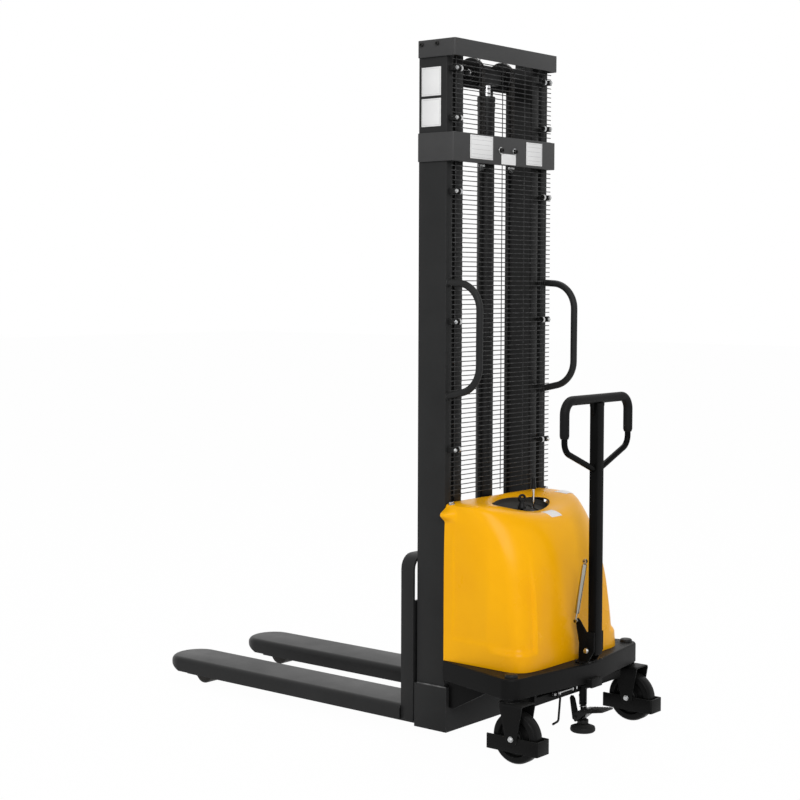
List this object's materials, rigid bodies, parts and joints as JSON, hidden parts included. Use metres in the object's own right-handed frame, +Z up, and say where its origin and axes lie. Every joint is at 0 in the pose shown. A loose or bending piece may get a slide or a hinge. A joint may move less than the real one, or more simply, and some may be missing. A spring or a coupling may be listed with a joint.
{
  "type": "walkie stacker",
  "caption": "Walk-behind pallet stacker with a two-stage mast, forks over support legs, swivel casters, a yellow power cover and a tiller with a loop handle.",
  "frame": {"origin": "on the floor under the centre of the bounding box", "axes": "+Y the way the forks point, +X the truck's right, +Z up"},
  "size_m": [0.704, 1.622, 2.08],
  "materials": {
    "frame_paint": "dark charcoal powder coat, fine texture",
    "cover_paint": "glossy amber yellow moulding",
    "bright_steel": "turned and ground steel",
    "dark_steel": "oiled dark steel",
    "chrome": "hard chrome, polished",
    "black_plastic": "moulded black plastic, matte",
    "grey_plastic": "dark grey plastic, matte",
    "rubber": "black rubber",
    "nylon": "dark nylon wheel, satin",
    "polyurethane": "worn polyurethane tread",
    "galvanised": "zinc plated steel"
  },
  "bodies": {
    "chassis": {"battery": "black_plastic", "caster_cap_left": "black_plastic", "caster_cap_right": "black_plastic", "caster_crossbar": "frame_paint", "chain_anchor_beam": "frame_paint", "chain_rear_left": "dark_steel", "chain_rear_right": "dark_steel", "control_panel": "grey_plastic", "cover": "cover_paint", "deck": "frame_paint", "floor_lock_housing": "frame_paint", "grab_handle_left": "frame_paint", "grab_handle_right": "frame_paint", "guard_mesh": "dark_steel", "lift_cylinder": "dark_steel", "lift_pipe": "dark_steel", "mast_band": "frame_paint", "mast_top_beam": "frame_paint", "oil_tank": "frame_paint", "outer_rail_left": "frame_paint", "outer_rail_right": "frame_paint", "pump_motor": "frame_paint", "support_legs": "frame_paint", "tiller_bracket": "frame_paint"},
    "inner_mast": {"inner_rail_left": "frame_paint", "inner_rail_right": "frame_paint", "inner_top_beam": "frame_paint", "inner_foot_tie": "frame_paint", "crosshead": "frame_paint", "piston_rod": "chrome", "chain_front_left": "dark_steel", "chain_front_right": "dark_steel"},
    "carriage": {"carriage_frame": "frame_paint", "fork_left": "frame_paint", "fork_right": "frame_paint"},
    "tiller_arm": {"tiller": "frame_paint", "handle_grip": "black_plastic"},
    "gas_strut_rod": {"strut_rod": "bright_steel"},
    "gas_strut_barrel": {"strut_barrel": "bright_steel"},
    "lift_lever": {"control_lever": "bright_steel"},
    "isolator_knob": {"isolator_switch": "bright_steel"},
    "floor_lock_foot": {"floor_lock_plunger": "galvanised", "floor_lock_pad": "rubber"},
    "release_lever": {"floor_lock_release": "galvanised"},
    "chain_wheel_left": {"chain_wheel_left": "dark_steel"},
    "upper_roller_left": {"upper_roller_left": "bright_steel"},
    "lower_roller_left": {"lower_roller_left": "bright_steel"},
    "carriage_roller_lower_left": {"carriage_roller_lower_left": "bright_steel"},
    "carriage_roller_upper_left": {"carriage_roller_upper_left": "bright_steel"},
    "load_roller_left": {"load_roller_left": "polyurethane"},
    "caster_swivel_left": {"caster_fork_left": "frame_paint"},
    "caster_wheel_left": {"caster_wheel_left": "nylon"},
    "chain_wheel_right": {"chain_wheel_right": "dark_steel"},
    "upper_roller_right": {"upper_roller_right": "bright_steel"},
    "lower_roller_right": {"lower_roller_right": "bright_steel"},
    "carriage_roller_lower_right": {"carriage_roller_lower_right": "bright_steel"},
    "carriage_roller_upper_right": {"carriage_roller_upper_right": "bright_steel"},
    "load_roller_right": {"load_roller_right": "polyurethane"},
    "caster_swivel_right": {"caster_fork_right": "frame_paint"},
    "caster_wheel_right": {"caster_wheel_right": "nylon"}
  },
  "joints": [
    {"name": "mast_lift", "type": "slide", "parent": "chassis", "child": "inner_mast", "axis": [0, 0, 1], "range_m": [0, 1.45], "deforming": ["chain_rear_left", "chain_rear_right"]},
    {"name": "carriage_lift", "type": "slide", "parent": "inner_mast", "child": "carriage", "axis": [0, 0, 1], "range_m": [0, 1.45], "deforming": ["chain_front_left", "chain_front_right"]},
    {"name": "tiller_tilt", "type": "hinge", "parent": "chassis", "child": "tiller_arm", "pos_m": [0, -0.751, 0.281], "axis": [1, 0, 0], "range_deg": [0, 70], "stiffness_Nm_per_rad": 25, "springref_deg": -22.92},
    {"name": "strut_swing", "type": "hinge", "parent": "chassis", "child": "gas_strut_rod", "pos_m": [-0.0375, -0.7197, 0.367], "axis": [1, 0, 0], "range_deg": [0, 79.2]},
    {"name": "strut_stroke", "type": "slide", "parent": "gas_strut_rod", "child": "gas_strut_barrel", "axis": [0, -0.172, 0.9851], "range_m": [0, 0.099]},
    {"name": "lift_lever_tilt", "type": "hinge", "parent": "chassis", "child": "lift_lever", "pos_m": [0.058, -0.5, 0.654], "axis": [1, 0, 0], "range_deg": [-15, 15], "stiffness_Nm_per_rad": 0.6},
    {"name": "isolator_turn", "type": "hinge", "parent": "chassis", "child": "isolator_knob", "pos_m": [-0.002, -0.5, 0.69], "axis": [0, 0, 1], "range_deg": [0, 90]},
    {"name": "floor_lock_press", "type": "slide", "parent": "chassis", "child": "floor_lock_foot", "axis": [0, 0, -1], "range_m": [0, 0.03]},
    {"name": "release_kick", "type": "hinge", "parent": "chassis", "child": "release_lever", "pos_m": [-0.007, -0.647, 0.1675], "axis": [1, 0, 0], "range_deg": [0, 20], "stiffness_Nm_per_rad": 0.5, "springref_deg": -5.73},
    {"name": "chain_wheel_left_spin", "type": "hinge", "parent": "inner_mast", "child": "chain_wheel_left", "pos_m": [-0.077, -0.354, 2], "axis": [1, 0, 0], "continuous": true},
    {"name": "upper_roller_left_spin", "type": "hinge", "parent": "chassis", "child": "upper_roller_left", "pos_m": [-0.21535, -0.3505, 1.955], "axis": [1, 0, 0], "continuous": true},
    {"name": "lower_roller_left_spin", "type": "hinge", "parent": "inner_mast", "child": "lower_roller_left", "pos_m": [-0.2405, -0.3505, 0.1], "axis": [1, 0, 0], "continuous": true},
    {"name": "carriage_roller_lower_left_spin", "type": "hinge", "parent": "carriage", "child": "carriage_roller_lower_left", "pos_m": [-0.17835, -0.3505, 0.115], "axis": [1, 0, 0], "continuous": true},
    {"name": "carriage_roller_upper_left_spin", "type": "hinge", "parent": "carriage", "child": "carriage_roller_upper_left", "pos_m": [-0.17835, -0.3505, 0.375], "axis": [1, 0, 0], "continuous": true},
    {"name": "load_roller_left_spin", "type": "hinge", "parent": "chassis", "child": "load_roller_left", "pos_m": [-0.186, 0.661, 0.037], "axis": [1, 0, 0], "continuous": true},
    {"name": "caster_swivel_left_turn", "type": "hinge", "parent": "chassis", "child": "caster_swivel_left", "pos_m": [-0.31, -0.682, 0.174], "axis": [0, 0, 1], "continuous": true},
    {"name": "caster_wheel_left_spin", "type": "hinge", "parent": "caster_swivel_left", "child": "caster_wheel_left", "pos_m": [-0.31, -0.706, 0.075], "axis": [1, 0, 0], "continuous": true},
    {"name": "chain_wheel_right_spin", "type": "hinge", "parent": "inner_mast", "child": "chain_wheel_right", "pos_m": [0.077, -0.354, 2], "axis": [1, 0, 0], "continuous": true},
    {"name": "upper_roller_right_spin", "type": "hinge", "parent": "chassis", "child": "upper_roller_right", "pos_m": [0.21535, -0.3505, 1.955], "axis": [1, 0, 0], "continuous": true},
    {"name": "lower_roller_right_spin", "type": "hinge", "parent": "inner_mast", "child": "lower_roller_right", "pos_m": [0.2405, -0.3505, 0.1], "axis": [1, 0, 0], "continuous": true},
    {"name": "carriage_roller_lower_right_spin", "type": "hinge", "parent": "carriage", "child": "carriage_roller_lower_right", "pos_m": [0.17835, -0.3505, 0.115], "axis": [1, 0, 0], "continuous": true},
    {"name": "carriage_roller_upper_right_spin", "type": "hinge", "parent": "carriage", "child": "carriage_roller_upper_right", "pos_m": [0.17835, -0.3505, 0.375], "axis": [1, 0, 0], "continuous": true},
    {"name": "load_roller_right_spin", "type": "hinge", "parent": "chassis", "child": "load_roller_right", "pos_m": [0.186, 0.661, 0.037], "axis": [1, 0, 0], "continuous": true},
    {"name": "caster_swivel_right_turn", "type": "hinge", "parent": "chassis", "child": "caster_swivel_right", "pos_m": [0.31, -0.682, 0.174], "axis": [0, 0, 1], "continuous": true},
    {"name": "caster_wheel_right_spin", "type": "hinge", "parent": "caster_swivel_right", "child": "caster_wheel_right", "pos_m": [0.31, -0.706, 0.075], "axis": [1, 0, 0], "continuous": true}
  ],
  "couplings": [
    {"joint": "carriage_lift", "follows": "mast_lift", "ratio": 1},
    {"joint": "strut_swing", "follows": "tiller_tilt", "ratio": 1.129},
    {"joint": "strut_stroke", "follows": "tiller_tilt", "m_per_rad": 0.0807},
    {"joint": "chain_wheel_left_spin", "follows": "mast_lift", "rad_per_m": 24.39},
    {"joint": "chain_wheel_right_spin", "follows": "mast_lift", "rad_per_m": 24.39}
  ]
}
